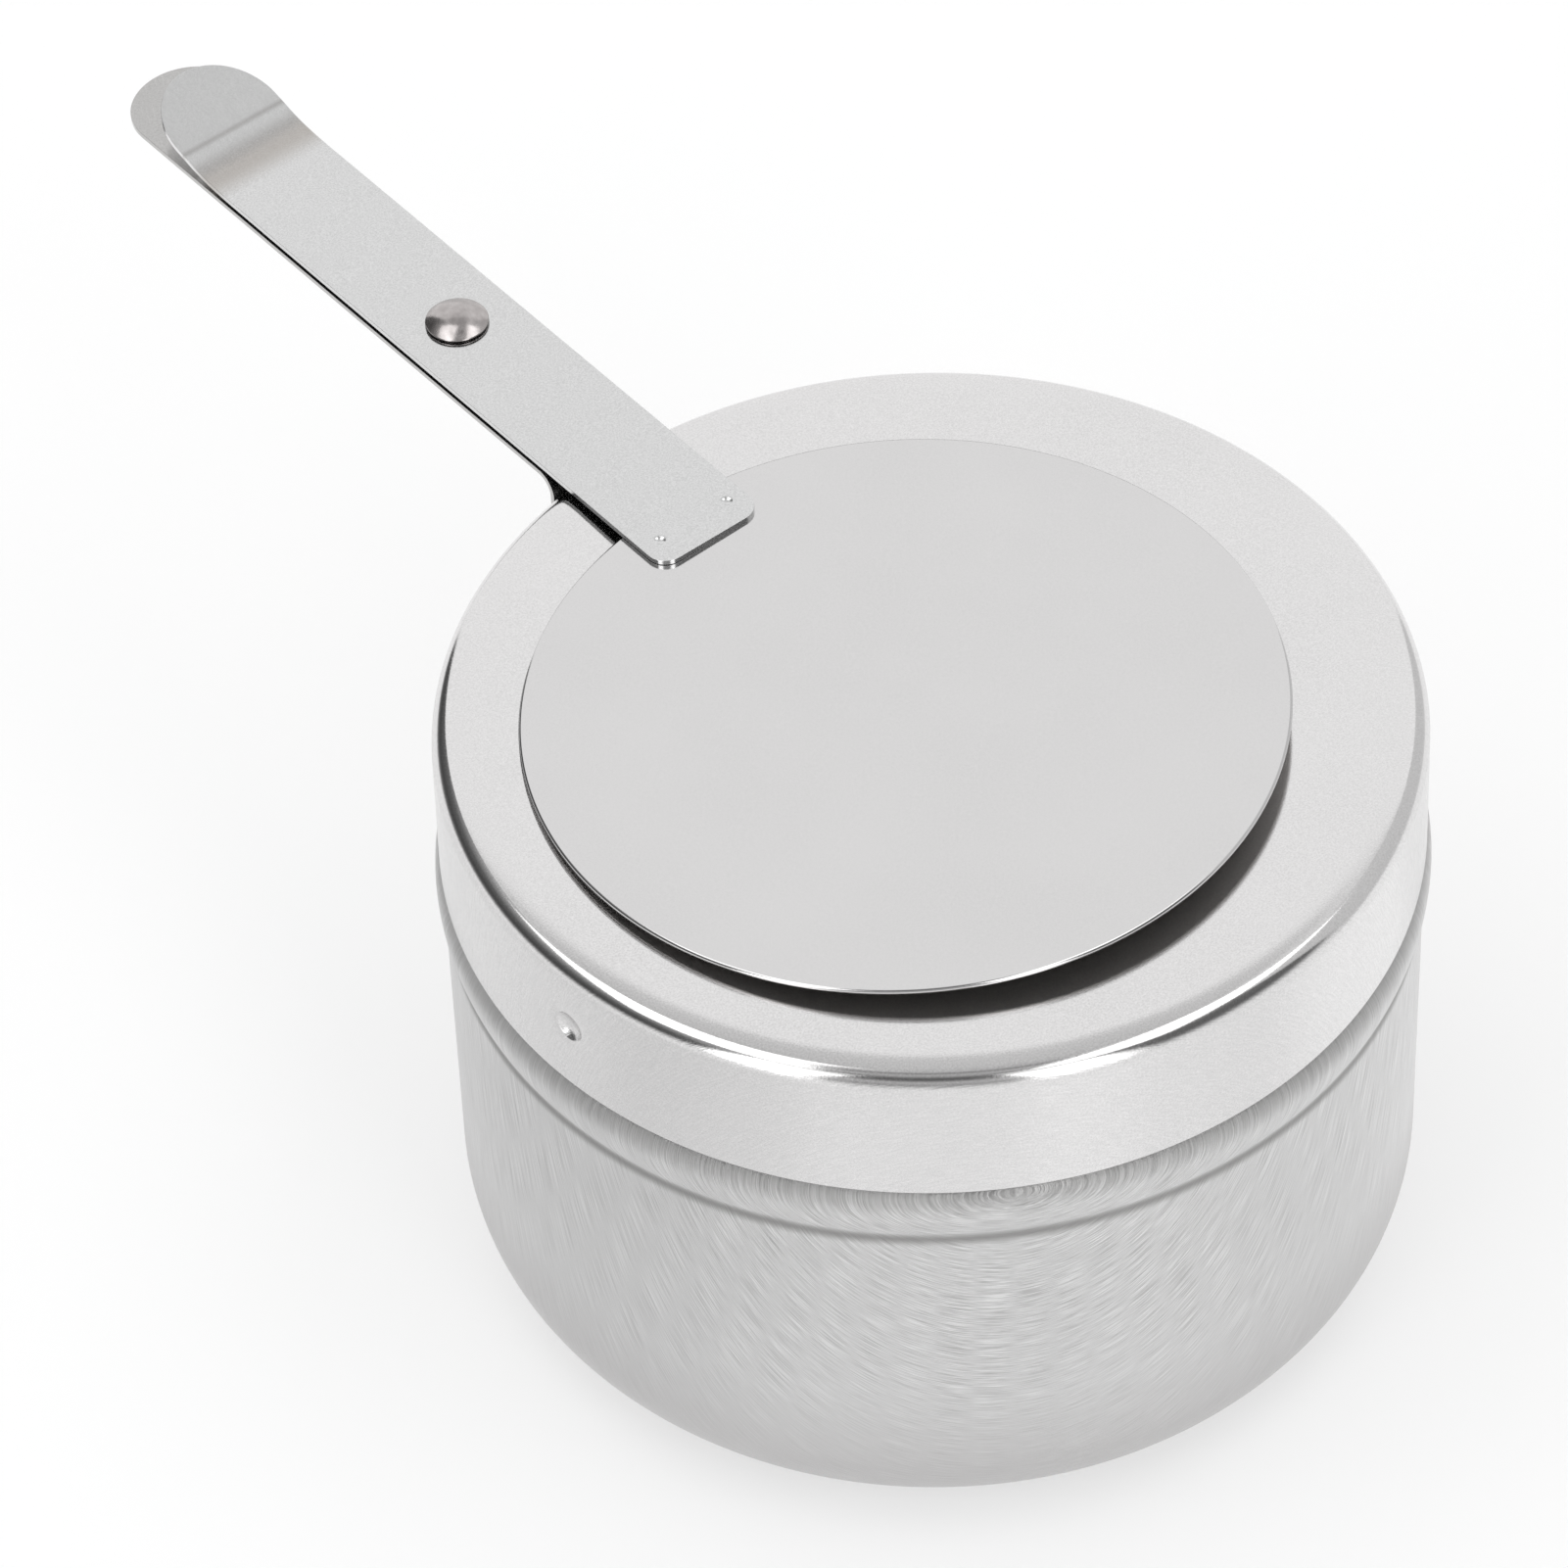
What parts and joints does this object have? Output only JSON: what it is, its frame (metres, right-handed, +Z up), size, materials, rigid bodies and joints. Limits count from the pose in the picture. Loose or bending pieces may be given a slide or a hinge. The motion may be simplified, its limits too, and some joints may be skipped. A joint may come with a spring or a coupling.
{
  "type": "lidded burner holder",
  "caption": "Round sheet-metal burner pot with a lift-off ring lid, a flat handle strip, and a snuffer disc on an arm that swings about a rivet in the handle.",
  "frame": {"origin": "centre of the pot's flat base, on the surface it stands on", "axes": "+Z up along the pot's axis, +X out along the handle"},
  "size_m": [0.1606, 0.0908, 0.0654],
  "materials": {
    "brushed_pot": "deep-drawn stainless steel, brushed after drawing",
    "bright_lid": "bright-annealed stainless sheet",
    "bright_strip": "bright-annealed stainless strip, lightly scratched",
    "polished_rivet": "polished stainless steel",
    "plain_washer": "plain stainless steel"
  },
  "bodies": {
    "pot": {"pot": "brushed_pot"},
    "lid": {"lid_ring": "bright_lid", "handle_strip": "bright_strip", "spacer_washer": "plain_washer", "pivot_rivet": "polished_rivet"},
    "snuffer": {"swing_arm": "bright_strip", "snuffer_disc": "bright_lid"}
  },
  "joints": [
    {"name": "lift_off", "type": "slide", "parent": "pot", "child": "lid", "axis": [0, 0, 1], "range_m": [0, 0.035]},
    {"name": "swing_aside", "type": "hinge", "parent": "lid", "child": "snuffer", "pos_m": [0.06718, 0.00211, 0.06214], "axis": [0.027, 0.0087, 0.9996], "range_deg": [-90, 90]}
  ]
}
